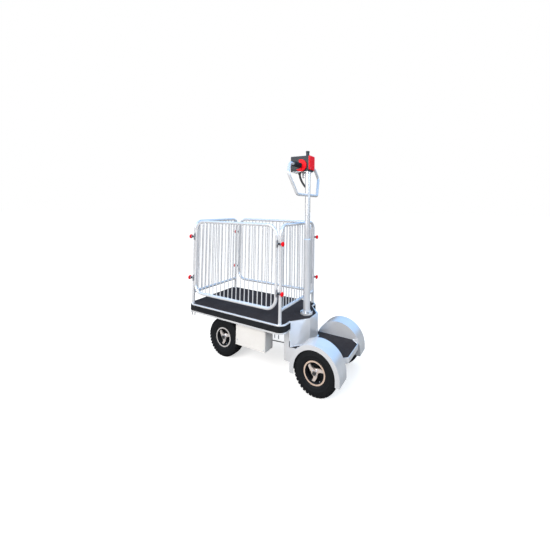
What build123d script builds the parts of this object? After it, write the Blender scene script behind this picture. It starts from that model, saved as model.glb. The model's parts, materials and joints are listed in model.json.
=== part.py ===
from build123d import *
import math
import os

# Stand-on electric cart: a caged load deck, two steered front wheels and a low
# platform over the driven rear wheels, where the driver stands behind the mast.
# Millimetres. +X forward towards the load deck's free end, +Y left, +Z up.
# Every piece is drawn with x = 0 at the rear axle and z = 0 on the ground, and
# is then moved by MIDDLE_X, so that the origin lies under the cart's middle.

# Driving dimensions of the whole cart
WHEEL_R = 165
TYRE_WIDTH = 100
WHEELBASE = 915
DECK_REAR = 248
DECK_LENGTH = 1000
DECK_HALF = 300
DECK_TOP = 435
DECK_DEPTH = 74
PLATFORM_TOP = 244
PLATFORM_REAR = -189
PLATFORM_HALF = 164
MAST_X = 208
CAGE_TOP = 1163
HEAD_TOP = 1729

# Clearances
RUN_GAP = 0.05
OPEN_PIVOT_GAP = 1
SIDE_GAP = 2

# Deck
DECK_FRONT = DECK_REAR + DECK_LENGTH
DECK_MID = (DECK_REAR + DECK_FRONT) / 2
DECK_CORNER = 62
DECK_BOTTOM = DECK_TOP - DECK_DEPTH
MAT = 4
DECK_SHEET = 5
SKIRT = 5
DECK_EDGE = 12
EDGE_ROUND = 4
DECK_PLATE_TOP = DECK_TOP - MAT
DECK_CEILING = DECK_PLATE_TOP - DECK_SHEET
FLANGE_DROP = 14
BUMPER_LOW = DECK_BOTTOM + FLANGE_DROP
BUMPER_HIGH = DECK_TOP - FLANGE_DROP
BUMPER_GROOVE = 3
BUMPER_PROUD = 4
BUMPER_ROUND = 3
NOSE_BASE_HALF = 195
NOSE_TIP_HALF = 72
NOSE_TIP_X = 138
CROSS_MEMBER_W = 40
CROSS_MEMBER_H = 40
CROSS_MEMBER_SHEET = 4
CROSS_MEMBER_SHARES = (0.1, 0.36, 0.9)
HOOK_INSET_Y = 28
HOOK_REAR_INSET = 70
HOOK_FRONT_INSET = 40
HOOK_Y = DECK_HALF - HOOK_INSET_Y
HOOK_REAR_X = DECK_REAR + HOOK_REAR_INSET
HOOK_FRONT_X = DECK_FRONT - HOOK_FRONT_INSET
HOOK_HALF = 17
HOOK_DROP = 40
HOOK_ROD_R = 3.5
HOOK_BEND = 12

# Column cover
COVER_SHEET = 3
COVER_FOOT = 8
COVER_FOOT_H = 2

# Cage
TUBE_R = 12.5
BAR_R = 4
CAGE_GAP = 97
CAGE_RAIL_Z = DECK_TOP + CAGE_GAP
LEG_INSET_X = 40
LEG_INSET_Y = 21
LEG_Y = DECK_HALF - LEG_INSET_Y
LEG_REAR_X = DECK_REAR + LEG_INSET_X
LEG_FRONT_X = DECK_FRONT - LEG_INSET_X
END_BEND = 65
END_BARS = 12
END_PITCH = 2 * LEG_Y / (END_BARS + 1)
GATE_OFFSET = 11
GATE_Y = LEG_Y + GATE_OFFSET
GATE_INSET = 32
GATE_REAR_X = LEG_REAR_X + GATE_INSET
GATE_FRONT_X = LEG_FRONT_X - GATE_INSET
GATE_BEND = 85
GATE_BARS = 19
LATCH_LOW_RISE = 128
LATCH_HIGH_DROP = 137
LATCH_LOW_Z = CAGE_RAIL_Z + LATCH_LOW_RISE
LATCH_HIGH_Z = CAGE_TOP - LATCH_HIGH_DROP
PIN_R = 5
BARREL_R = 9
BARREL_HALF = 13
LATCH_Y = LEG_Y + TUBE_R + BARREL_R - 0.5
EAR_HEIGHT = 56
EAR_SHEET = 4.5
EAR_SLOT = 11
EAR_SIDE = 13
EAR_ROUND = 8
EAR_NEAR = GATE_INSET - TUBE_R + 2
KNOB_R = 18
KNOB_LENGTH = 16
KNOB_STEM = 11

# Wheels
REAR_TRACK_HALF = 241
FRONT_TRACK_HALF = 155
TYRE_BORE_R = 76
BEAD_HALF = 39
TREAD_HALF = 32
SHOULDER_R = WHEEL_R - 13
BULGE_R = WHEEL_R - 47
CROWN = 2
RIM_HALF = 44
RIM_LIP_R = 82
RIM_SHEET = 5
RIM_WELL_R = 64
RIM_WELL_HALF = 20
HUB_R = 24
HUB_FACE = 40
SPOKES = 3
SPOKE_THICK = 11
SPOKE_RECESS = 12
SPINDLE_R = 10
NUT_R = 14
NUT_LENGTH = 9

# Front axle and steering
KINGPIN_OFFSET = 73
KINGPIN_Y = FRONT_TRACK_HALF - KINGPIN_OFFSET
KINGPIN_R = 8
BOSS_R = 15
BOSS_HALF_H = 39
BOSS_LOW = WHEEL_R - BOSS_HALF_H
BOSS_HIGH = WHEEL_R + BOSS_HALF_H
FORK_SHEET = 10
STEER_ARM = 70
ARM_HALF = 12
LINK_PIN_R = 5
LINK_EYE_R = 12
LINK_EYE_H = 10
LINK_ROD_R = 4.5
BEAM_HALF = 20
BEAM_LOW = WHEEL_R - 20
BEAM_HIGH = WHEEL_R + 20
PEDESTAL_FOOT = 30
PEDESTAL_HEAD = 60
PEDESTAL_HALF_Y = 40
SHAFT_R = 14

# Rear chassis
TRAY_SHEET = 3
TRAY_EDGE = 38
TRAY_CHAMFER_X = 55
TRAY_CHAMFER_Y = 52
MAT_INSET = 7
WING_HALF = NOSE_BASE_HALF
RISER_SHEET = 5
RISER_DEPTH = 52
RISER_FRONT = DECK_REAR + RISER_DEPTH
RISER_LOW = WHEEL_R - 33
RAIL_W = 30
RAIL_SIDE = 14
RAIL_Y = PLATFORM_HALF - RAIL_SIDE - RAIL_W
RAIL_LOW = WHEEL_R - 19
CROSS_BEAM = 60
CROSS_BEAM_TOP = WHEEL_R + 35

# Fenders
FENDER_GAP = 22
FENDER_SHEET = 3
FENDER_R = WHEEL_R + FENDER_GAP + FENDER_SHEET
FENDER_COVER = 9
FENDER_OUT = REAR_TRACK_HALF + TYRE_WIDTH / 2 + FENDER_COVER
FENDER_LIP = 33
FENDER_DROP = 41

# Battery boxes
BATTERY_REAR_GAP = 128
BATTERY_FRONT_GAP = 30
BATTERY_INSET = 38
BATTERY_DEPTH = 102
BATTERY_DROP = 181
BATTERY_REAR = RISER_FRONT + BATTERY_REAR_GAP
BATTERY_FRONT = WHEELBASE - WHEEL_R - BATTERY_FRONT_GAP
BATTERY_OUT = DECK_HALF - BATTERY_INSET
BATTERY_LOW = DECK_BOTTOM - BATTERY_DROP
BATTERY_TOP = DECK_CEILING - CROSS_MEMBER_H
LID_MARGIN = 6
LID_PROUD = 2

# Rear drive
AXLE_TUBE_R = 20
GEAR_R = 52
GEAR_HALF = 48
MOTOR_REAR = 35
MOTOR_LENGTH = 110
MOTOR_HALF = 60
MOTOR_LOW = WHEEL_R - 55
MOTOR_HEIGHT = 115

# Mast
FLANGE_R = 50
FLANGE_H = 22
FLANGE_CHAMFER = 7
COLLAR_R = 34
COLLAR_H = 10
LOWER_TUBE_R = 28.5
UPPER_TUBE_R = 22
MAST_SEAM = CAGE_TOP - LATCH_LOW_RISE
SEAM_TAPER = 8
CAP_R = 27
CAP_H = 12

# Head
HEAD_HEIGHT = 130
HEAD_LENGTH = 171
HEAD_BEHIND = 29
HEAD_HALF = 47.5
HEAD_LOW = HEAD_TOP - HEAD_HEIGHT
HEAD_REAR = MAST_X - HEAD_BEHIND
HEAD_FRONT = HEAD_REAR + HEAD_LENGTH
HEAD_ROUND = 9
CAP_DEPTH = 12
CAP_RAISE = 12
CAP_LOW = HEAD_LOW + CAP_RAISE
CAP_ROUND = 7
BRACKET_SHEET = 4
TOP_KNOB_X = MAST_X + 4
TOP_KNOB_R = 15.5
TOP_KNOB_NECK_R = 14
TOP_KNOB_H = 44
TOP_KNOB_CAP = 16
LAMP_X = HEAD_FRONT - 2 * HEAD_ROUND
LAMP_R = 9
LAMP_H = 6
LOOP_R = 11.5
GRIP_AHEAD = 45
GRIP_DROP = 82
GRIP_X = MAST_X + GRIP_AHEAD
GRIP_Z = HEAD_TOP - GRIP_DROP
GRIP_HALF = 222
LOOP_WIDE_DROP = 85
LOOP_WIDE_HALF = 272
LOOP_LOW_DROP = 245
LOOP_LOW_HALF = 180
LOOP_WIDE_Z = GRIP_Z - LOOP_WIDE_DROP
LOOP_LOW_Z = GRIP_Z - LOOP_LOW_DROP
LOOP_BEND = 32
GRIP_R = 21
GRIP_IN = 70
GRIP_LENGTH = 100
PADDLE_IN = 52
PADDLE_SHEET = 12
PADDLE_R = 50
PADDLE_BORE_R = 23
PADDLE_BACK = 8
CONDUIT_R = 8.5
CONDUIT_AHEAD = 73
CONDUIT_X = MAST_X + CONDUIT_AHEAD
CONDUIT_Y = 12
CONDUIT_REACH = 139
CONDUIT_END_Z = HEAD_LOW - CONDUIT_REACH
CONDUIT_DROP = 70
CONDUIT_BEND = 70
KEY_AHEAD = 53
KEY_X = MAST_X + KEY_AHEAD
KEY_Y = -20
KEY_R = 9
KEY_H = 12
KEY_BLADE = 16
KEY_SHEET = 2.5

MIDDLE_X = (DECK_FRONT + BUMPER_PROUD - FENDER_R) / 2
SIDES = (("left", 1), ("right", -1))


def save(name, *solids):
    """Move a piece to the shared frame and write it."""
    moved = [Pos(-MIDDLE_X, 0, 0) * solid for solid in solids]
    shape = moved[0] if len(moved) == 1 else Compound(moved)
    export_step(shape, f"parts/{name}.step")


def block(x0, x1, y0, y1, z0, z1):
    """A box between two corners."""
    middle = Pos((x0 + x1) / 2, (y0 + y1) / 2, (z0 + z1) / 2)
    return middle * Box(abs(x1 - x0), abs(y1 - y0), abs(z1 - z0))


def rod_x(x0, x1, y, z, r):
    """A round bar along X."""
    return Pos((x0 + x1) / 2, y, z) * Rot(0, 90, 0) * Cylinder(r, abs(x1 - x0))


def rod_y(x, y0, y1, z, r):
    """A round bar along Y."""
    return Pos(x, (y0 + y1) / 2, z) * Rot(90, 0, 0) * Cylinder(r, abs(y1 - y0))


def rod_z(x, y, z0, z1, r):
    """A round bar along Z."""
    return Pos(x, y, (z0 + z1) / 2) * Cylinder(r, abs(z1 - z0))


def tube_path(path, r):
    """A round section swept along a path."""
    start = Plane(origin=path @ 0, z_dir=path % 0)
    return sweep(start * Circle(r), path=path)


def plate(face, z0, z1):
    """A flat outline given a thickness between two levels."""
    return extrude(Pos(0, 0, z0) * face, z1 - z0)


def mirrored_outline(*points):
    """A closed outline from its points on the left, front to rear."""
    right = [(x, -y) for x, y in reversed(points)]
    return make_face(Polyline(*points, *right, close=True))


def deck_outline(offset):
    """The deck's rounded outline, grown by an offset."""
    length = DECK_LENGTH + 2 * offset
    width = 2 * (DECK_HALF + offset)
    return Pos(DECK_MID, 0) * RectangleRounded(length, width, DECK_CORNER + offset)


def nose_outline(offset):
    """The trapezoid that carries the mast, grown by an offset at its free sides."""
    base = NOSE_BASE_HALF + offset
    inside = DECK_REAR + DECK_CORNER
    return mirrored_outline((inside, base), (DECK_REAR, base),
                            (NOSE_TIP_X - offset, NOSE_TIP_HALF + offset))


def tray_outline(inset):
    """The platform's outline: wide ahead of the fenders, chamfered at the rear."""
    wide = WING_HALF - inset
    narrow = PLATFORM_HALF - inset
    wing_rear = FENDER_R + SIDE_GAP + inset
    rear = PLATFORM_REAR + inset
    return mirrored_outline((RISER_FRONT, wide), (wing_rear, wide), (wing_rear, narrow),
                            (rear + TRAY_CHAMFER_X, narrow), (rear, narrow - TRAY_CHAMFER_Y))


def deck_frame():
    """Pressed deck: top sheet, skirt with a groove for the bumper, cross members."""
    inner = -BUMPER_GROOVE - SKIRT
    shell = plate(deck_outline(0), DECK_BOTTOM, DECK_PLATE_TOP)
    shell = fillet(shell.faces().sort_by(Axis.Z)[-1].edges(), EDGE_ROUND)
    shell -= plate(deck_outline(inner), DECK_BOTTOM, DECK_CEILING)
    groove = plate(deck_outline(1), BUMPER_LOW, BUMPER_HIGH)
    groove -= plate(deck_outline(-BUMPER_GROOVE), BUMPER_LOW, BUMPER_HIGH)
    shell -= groove
    shell += plate(nose_outline(0), DECK_CEILING, DECK_PLATE_TOP)
    half = DECK_HALF + inner
    low = DECK_CEILING - CROSS_MEMBER_H
    for share in CROSS_MEMBER_SHARES:
        x = DECK_REAR + share * DECK_LENGTH
        rear = x - CROSS_MEMBER_W / 2
        front = x + CROSS_MEMBER_W / 2
        shell += block(rear, front, -half, half, low, DECK_CEILING)
        shell -= block(rear + CROSS_MEMBER_SHEET, front - CROSS_MEMBER_SHEET, -half, half,
                       low, DECK_CEILING - CROSS_MEMBER_SHEET)
    return shell - rod_z(MAST_X, 0, DECK_CEILING, DECK_PLATE_TOP, SHAFT_R + SIDE_GAP)


def deck_mat():
    """Rubber mat, inset from the deck's edge, with a tongue on the nose."""
    mat = plate(deck_outline(-DECK_EDGE), DECK_PLATE_TOP, DECK_TOP)
    mat += plate(nose_outline(-DECK_EDGE), DECK_PLATE_TOP, DECK_TOP)
    mat -= rod_z(MAST_X, 0, DECK_PLATE_TOP, DECK_TOP, FLANGE_R)
    for x in (LEG_REAR_X, LEG_FRONT_X):
        for y in (-LEG_Y, LEG_Y):
            mat -= rod_z(x, y, DECK_PLATE_TOP, DECK_TOP, TUBE_R)
    return mat


def bumper():
    """Rubber band in the skirt's groove, cut away behind the nose."""
    band = plate(deck_outline(BUMPER_PROUD), BUMPER_LOW, BUMPER_HIGH)
    rims = band.faces().filter_by(Axis.Z).edges()
    band = fillet(rims, BUMPER_ROUND)
    band -= plate(deck_outline(-BUMPER_GROOVE), BUMPER_LOW, BUMPER_HIGH)
    return band - block(NOSE_TIP_X, DECK_REAR + DECK_CORNER, -NOSE_BASE_HALF, NOSE_BASE_HALF,
                        BUMPER_LOW, BUMPER_HIGH)


def corner_hook(x, y):
    """Lashing hook: a rod bent over, its crown under the skirt's frame."""
    crown = DECK_BOTTOM - HOOK_ROD_R
    low = DECK_BOTTOM - HOOK_DROP
    path = FilletPolyline((x - HOOK_HALF, y, low), (x - HOOK_HALF, y, crown),
                          (x + HOOK_HALF, y, crown), (x + HOOK_HALF, y, low), radius=HOOK_BEND)
    tab = block(x - HOOK_ROD_R, x + HOOK_ROD_R, y, math.copysign(DECK_HALF - BUMPER_GROOVE, y),
                crown, DECK_BOTTOM)
    return tube_path(path, HOOK_ROD_R) + tab


def column_cover():
    """Bent sheet from the nose down to the driver's platform, open to the front."""
    low = PLATFORM_TOP
    cover = plate(nose_outline(0), low, DECK_CEILING)
    cover += plate(nose_outline(COVER_FOOT), low, low + COVER_FOOT_H)
    cover -= plate(nose_outline(-COVER_SHEET), low, DECK_CEILING)
    front = DECK_REAR + 2 * DECK_CORNER
    return cover - block(DECK_REAR, front, -DECK_HALF, DECK_HALF, low, DECK_CEILING)


def rear_chassis():
    """Platform tray on two rails, with riser plates up to the deck."""
    top = PLATFORM_TOP - MAT
    low = top - TRAY_EDGE
    under = top - TRAY_SHEET
    tray = plate(tray_outline(0), low, top)
    tray -= plate(tray_outline(TRAY_SHEET), low, under)
    inside = WING_HALF - RISER_SHEET
    tray -= block(RISER_FRONT - TRAY_SHEET, RISER_FRONT, -inside, inside, low, under)
    wing_rear = FENDER_R + SIDE_GAP
    behind_skirt = DECK_REAR + BUMPER_GROOVE + SKIRT
    for _, side in SIDES:
        tray += block(PLATFORM_REAR + TRAY_CHAMFER_X, RISER_FRONT, side * RAIL_Y,
                      side * (RAIL_Y + RAIL_W), RAIL_LOW, under)
        tray += block(wing_rear, RISER_FRONT, side * inside, side * WING_HALF, RISER_LOW, top)
        tray += block(behind_skirt, RISER_FRONT, side * inside, side * WING_HALF, top,
                      DECK_CEILING)
    tray += block(RISER_FRONT - CROSS_BEAM, RISER_FRONT, -inside, inside, RAIL_LOW,
                  CROSS_BEAM_TOP)
    tray -= rod_z(MAST_X, 0, under, top, SHAFT_R + RUN_GAP)
    return tray - rod_y(0, -PLATFORM_HALF, PLATFORM_HALF, WHEEL_R, AXLE_TUBE_R)


def platform_mat():
    """Rubber mat round the column's cover, where the driver stands."""
    mat = plate(tray_outline(MAT_INSET), PLATFORM_TOP - MAT, PLATFORM_TOP)
    mat -= plate(nose_outline(-COVER_SHEET), PLATFORM_TOP - MAT, PLATFORM_TOP)
    return mat - block(DECK_REAR, RISER_FRONT, -WING_HALF, WING_HALF, PLATFORM_TOP - MAT,
                       PLATFORM_TOP)


def fender_outline(inset, drop):
    """A half round with straight ends below the axle's level."""
    r = FENDER_R - inset
    low = FENDER_DROP + drop
    legs = Pos(0, -low / 2) * Rectangle(2 * r, low)
    arch = Circle(r) & Pos(0, r / 2) * Rectangle(2 * r, r)
    return legs + arch


def fender_slab(inset, drop, side, y0, y1):
    """The fender's outline as a slab between two distances from the middle."""
    slab = extrude(Plane.XZ * fender_outline(inset, drop), y1 - y0, dir=(0, side, 0))
    return Pos(0, side * y0, WHEEL_R) * slab


def fender(side):
    """Half-round mudguard with an inner plate and an outer lip."""
    inner = PLATFORM_HALF + FENDER_SHEET
    outer = FENDER_OUT - FENDER_SHEET
    guard = fender_slab(0, 0, side, PLATFORM_HALF, FENDER_OUT)
    guard -= fender_slab(FENDER_SHEET, 1, side, inner, outer)
    guard -= fender_slab(FENDER_LIP, 1, side, outer - 1, FENDER_OUT + 1)
    return guard - rod_y(0, side * PLATFORM_HALF, side * inner, WHEEL_R, AXLE_TUBE_R)


def battery_box(side):
    """Sheet battery box hung under the deck, with a proud lid on its outer face."""
    box = block(BATTERY_REAR, BATTERY_FRONT, side * (BATTERY_OUT - BATTERY_DEPTH), side * BATTERY_OUT,
                BATTERY_LOW, BATTERY_TOP)
    lid = block(BATTERY_REAR + LID_MARGIN, BATTERY_FRONT - LID_MARGIN, side * BATTERY_OUT,
                side * (BATTERY_OUT + LID_PROUD), BATTERY_LOW + LID_MARGIN,
                DECK_BOTTOM - LID_MARGIN)
    return box + lid


def spindle(x, y0, y1, side):
    """Wheel spindle with its nut, between two distances from the middle."""
    pin = rod_y(x, side * y0, side * y1, WHEEL_R, SPINDLE_R)
    nut = extrude(RegularPolygon(NUT_R, 6), NUT_LENGTH)
    return pin + Pos(x, side * y1, WHEEL_R) * Rot(-90 * side, 0, 0) * nut


def rear_axle():
    """Driven axle: cross tube, gear housing and the stub of each wheel."""
    tube_end = REAR_TRACK_HALF - RIM_HALF - SIDE_GAP
    axle = rod_y(0, -tube_end, tube_end, WHEEL_R, AXLE_TUBE_R)
    housing = rod_y(0, -GEAR_HALF, GEAR_HALF, WHEEL_R, GEAR_R)
    axle += chamfer(housing.edges().filter_by(GeomType.CIRCLE), GEAR_HALF / 4)
    for _, side in SIDES:
        axle += spindle(0, tube_end, REAR_TRACK_HALF + HUB_FACE + SIDE_GAP, side)
    return axle - drive_motor()


def drive_motor():
    """The motor, one plain block ahead of the gear housing."""
    return block(MOTOR_REAR, MOTOR_REAR + MOTOR_LENGTH, -MOTOR_HALF, MOTOR_HALF,
                 MOTOR_LOW, MOTOR_LOW + MOTOR_HEIGHT)


def front_axle():
    """Cross beam with a kingpin boss at each end and a pedestal up to the deck."""
    x = WHEELBASE
    ends = KINGPIN_Y - BOSS_R
    beam = block(x - BEAM_HALF, x + BEAM_HALF, -ends, ends, BEAM_LOW, BEAM_HIGH)
    beam += block(x - BOSS_R, x + BOSS_R, -KINGPIN_Y, KINGPIN_Y, BEAM_LOW, BEAM_HIGH)
    side_view = make_face(Polyline((x - PEDESTAL_FOOT, BEAM_HIGH), (x + PEDESTAL_FOOT, BEAM_HIGH),
                                   (x + PEDESTAL_HEAD, DECK_CEILING),
                                   (x - PEDESTAL_HEAD, DECK_CEILING), close=True))
    beam += extrude(Plane.XZ * side_view, PEDESTAL_HALF_Y, both=True)
    for _, side in SIDES:
        y = side * KINGPIN_Y
        beam += rod_z(x, y, BOSS_LOW, BOSS_HIGH, BOSS_R)
        beam -= rod_z(x, y, BOSS_LOW, BOSS_HIGH, KINGPIN_R + RUN_GAP)
    return beam


def arm(x, y, dx, dy, z0, z1):
    """A flat steering arm from a pivot, with round ends."""
    angle = math.degrees(math.atan2(dy, dx))
    bar = SlotCenterToCenter(math.hypot(dx, dy), 2 * ARM_HALF)
    return plate(Pos(x + dx / 2, y + dy / 2) * Rot(0, 0, angle) * bar, z0, z1)


def knuckle(side):
    """Fork round the beam's boss, with its kingpin, spindle and steering arms."""
    x = WHEELBASE
    y = side * KINGPIN_Y
    web_in = KINGPIN_Y + BOSS_R + SIDE_GAP
    web_out = web_in + FORK_SHEET
    low = BOSS_LOW - SIDE_GAP
    high = BOSS_HIGH + SIDE_GAP
    pin_height = SIDE_GAP + LINK_EYE_H
    fork = block(x - BOSS_R, x + BOSS_R, side * web_in, side * web_out,
                 low - FORK_SHEET, high + FORK_SHEET)
    for z in (low - FORK_SHEET, high):
        fork += block(x - BOSS_R, x + BOSS_R, y, side * web_out, z, z + FORK_SHEET)
        fork += rod_z(x, y, z, z + FORK_SHEET, BOSS_R)
    fork += rod_z(x, y, low, high, KINGPIN_R)
    fork += spindle(x, web_out, FRONT_TRACK_HALF + HUB_FACE + SIDE_GAP, side)
    fork += arm(x, y, -STEER_ARM, 0, high, high + FORK_SHEET)
    fork += rod_z(x - STEER_ARM, y, high + FORK_SHEET, high + FORK_SHEET + pin_height, LINK_PIN_R)
    if side > 0:
        fork += arm(x, y, 0, -STEER_ARM, low - FORK_SHEET, low)
        fork += rod_z(x, y - STEER_ARM, low, low + pin_height, LINK_PIN_R)
    return fork


def link(start, end, z, start_gap, end_gap):
    """A rod with an eye at each end."""
    dx = end[0] - start[0]
    dy = end[1] - start[1]
    length = math.hypot(dx, dy)
    half = LINK_EYE_H / 2
    rod = rod_x(0, length, 0, 0, LINK_ROD_R)
    for at in (0, length):
        rod += rod_z(at, 0, -half, half, LINK_EYE_R)
    for at, gap in ((0, start_gap), (length, end_gap)):
        rod -= rod_z(at, 0, -half, half, LINK_PIN_R + gap)
    return Pos(start[0], start[1], z) * Rot(0, 0, math.degrees(math.atan2(dy, dx))) * rod


def tie_rod():
    """Rod between the knuckles' rear arms."""
    x = WHEELBASE - STEER_ARM
    z = BOSS_HIGH + SIDE_GAP + FORK_SHEET + SIDE_GAP + LINK_EYE_H / 2
    return link((x, KINGPIN_Y), (x, -KINGPIN_Y), z, RUN_GAP, OPEN_PIVOT_GAP)


def drag_link():
    """Rod from the mast's arm to the left knuckle's inner arm."""
    z = BOSS_LOW + LINK_EYE_H / 2
    start = (MAST_X, -STEER_ARM)
    end = (WHEELBASE, KINGPIN_Y - STEER_ARM)
    return link(start, end, z, RUN_GAP, OPEN_PIVOT_GAP)


def tyre(x, y):
    """Pneumatic tyre: beads, bulged walls, square shoulders and a slight crown."""
    half = TYRE_WIDTH / 2
    lip = RIM_LIP_R + 1
    walls = []
    for s in (-1, 1):
        bead = Polyline((TYRE_BORE_R, s * BEAD_HALF), (lip, s * BEAD_HALF), (lip, s * RIM_HALF))
        bulge = ThreePointArc((lip, s * RIM_HALF), (BULGE_R, s * half), (SHOULDER_R, s * (half - 4)))
        shoulder = Polyline((SHOULDER_R, s * (half - 4)), (WHEEL_R - CROWN, s * TREAD_HALF))
        walls += [bead, bulge, shoulder]
    crown = ThreePointArc((WHEEL_R - CROWN, -TREAD_HALF), (WHEEL_R, 0), (WHEEL_R - CROWN, TREAD_HALF))
    bore = Line((TYRE_BORE_R, -BEAD_HALF), (TYRE_BORE_R, BEAD_HALF))
    body = revolve(make_face(Curve(walls + [crown, bore]).edges()), Axis.Y)
    return Pos(x, y, WHEEL_R) * body


def polar(r, angle):
    """A point by radius and angle."""
    return (r * math.cos(math.radians(angle)), r * math.sin(math.radians(angle)))


def spoke(n):
    """One swirled spoke, wide at the hub and narrow where it meets the rim."""
    root = HUB_R - 3
    waist = (HUB_R + RIM_WELL_R) / 2
    tip = RIM_WELL_R + 2
    lead = ThreePointArc(polar(root, -44), polar(waist - 4, 12), polar(tip, 36))
    trail = ThreePointArc(polar(tip, 54), polar(waist, 48), polar(root, 78))
    outline = make_face(Curve([lead, Line(lead @ 1, trail @ 0), trail,
                               Line(trail @ 1, lead @ 0)]).edges())
    blade = extrude(Plane.XZ * outline, SPOKE_THICK, dir=(0, -1, 0))
    return Rot(0, 120 * n, 0) * Pos(0, RIM_HALF - SPOKE_RECESS, 0) * blade


def rim(x, y, side):
    """Alloy rim: dropped-centre barrel with lips, a hub and three swirled spokes."""
    outside = [(RIM_LIP_R, -RIM_HALF), (RIM_LIP_R, -BEAD_HALF), (TYRE_BORE_R, -BEAD_HALF),
               (TYRE_BORE_R, BEAD_HALF), (RIM_LIP_R, BEAD_HALF), (RIM_LIP_R, RIM_HALF)]
    inside = [(TYRE_BORE_R - RIM_SHEET, RIM_HALF), (RIM_WELL_R, RIM_WELL_HALF),
              (RIM_WELL_R, -RIM_WELL_HALF), (TYRE_BORE_R - RIM_SHEET, -RIM_HALF)]
    body = revolve(make_face(Polyline(*outside, *inside, close=True)), Axis.Y)
    body += rod_y(0, -RIM_HALF, HUB_FACE, 0, HUB_R)
    for n in range(SPOKES):
        body += spoke(n)
    body -= rod_y(0, -RIM_HALF - 1, HUB_FACE + 1, 0, SPINDLE_R + RUN_GAP)
    if side < 0:
        body = Rot(0, 0, 180) * body
    return Pos(x, y, WHEEL_R) * body


def end_tube(x):
    """Inverted U of tube, standing on the deck."""
    path = FilletPolyline((x, -LEG_Y, DECK_PLATE_TOP), (x, -LEG_Y, CAGE_TOP), (x, LEG_Y, CAGE_TOP),
                          (x, LEG_Y, DECK_PLATE_TOP), radius=END_BEND)
    return tube_path(path, TUBE_R)


def end_grille(x, frame):
    """Bottom rail and upright bars, coped to the U tube."""
    grille = rod_y(x, -LEG_Y, LEG_Y, CAGE_RAIL_Z, TUBE_R)
    for n in range(END_BARS):
        y = (n - (END_BARS - 1) / 2) * END_PITCH
        grille += rod_z(x, y, CAGE_RAIL_Z, CAGE_TOP, BAR_R)
    return grille - frame


def gate(side):
    """Drop side: a closed loop of tube with upright bars."""
    y = side * GATE_Y
    length = GATE_FRONT_X - GATE_REAR_X
    middle_x = (GATE_REAR_X + GATE_FRONT_X) / 2
    middle_z = (CAGE_TOP + CAGE_RAIL_Z) / 2
    outline = RectangleRounded(length, CAGE_TOP - CAGE_RAIL_Z, GATE_BEND).wire()
    body = tube_path(Pos(middle_x, y, middle_z) * Rot(90, 0, 0) * outline, TUBE_R)
    for n in range(GATE_BARS):
        x = GATE_REAR_X + (n + 1) * length / (GATE_BARS + 1)
        body += rod_z(x, y, CAGE_RAIL_Z, CAGE_TOP, BAR_R)
    for x in (GATE_REAR_X, GATE_FRONT_X):
        for z in (LATCH_LOW_Z, LATCH_HIGH_Z):
            body -= gate_ear(x, side, z)
    return body


def gate_ear(x, side, z):
    """Plate between leg and gate: a hole for the lower pin, a slot for the upper."""
    out = -1 if x < DECK_MID else 1
    leg = x + out * GATE_INSET
    near = leg - out * EAR_NEAR
    far = near + out * EAR_SHEET
    y = side * LATCH_Y
    inner = y - side * EAR_SIDE
    half = EAR_HEIGHT / 2
    ear = block(near, far, inner, y + side * EAR_SIDE, z - half, z + half)
    ear = fillet(ear.edges().filter_by(Axis.X), EAR_ROUND)
    if z == LATCH_LOW_Z:
        return ear - rod_x(near, far, y, z, PIN_R + RUN_GAP)
    slot = rod_x(near, far, y, z, EAR_SLOT / 2)
    slot += block(near, far, inner, y, z - EAR_SLOT / 2, z + EAR_SLOT / 2)
    return ear - slot


def latch_pin(x, out, side, z):
    """Barrel welded to the leg's outer side, with the pin through it into the ear."""
    y = side * LATCH_Y
    barrel = rod_x(x - BARREL_HALF, x + BARREL_HALF, y, z, BARREL_R)
    tip = x - out * (GATE_INSET - TUBE_R)
    barrel += rod_x(tip, x + out * (BARREL_HALF + KNOB_STEM), y, z, PIN_R)
    return barrel - rod_z(x, side * LEG_Y, z - 2 * BARREL_R, z + 2 * BARREL_R, TUBE_R)


def latch_knob(x, out, side, z):
    """Domed pull knob on the pin's outer end, turned about the pin's axis."""
    edge = KNOB_R / 6
    face = Polyline((KNOB_LENGTH, edge), (KNOB_LENGTH, 0), (0, 0), (0, KNOB_R - edge),
                    (edge, KNOB_R), (3 * edge, KNOB_R))
    dome = ThreePointArc((3 * edge, KNOB_R), (KNOB_LENGTH - edge, 0.7 * KNOB_R), (KNOB_LENGTH, edge))
    knob = revolve(make_face(Curve([face, dome]).edges()), Axis.X)
    start = x + out * (BARREL_HALF + KNOB_STEM)
    return Pos(start, side * LATCH_Y, z) * Rot(0, 0, 90 - 90 * out) * knob


def mast_flange():
    """Bearing flange bolted on the nose, narrower at its foot."""
    top = DECK_PLATE_TOP + FLANGE_H
    ring = rod_z(MAST_X, 0, DECK_PLATE_TOP, top, FLANGE_R)
    foot = ring.edges().filter_by(GeomType.CIRCLE).sort_by(Axis.Z)[0]
    ring = chamfer(foot, FLANGE_CHAMFER)
    return ring - rod_z(MAST_X, 0, DECK_PLATE_TOP, top, SHAFT_R + RUN_GAP)


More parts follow.
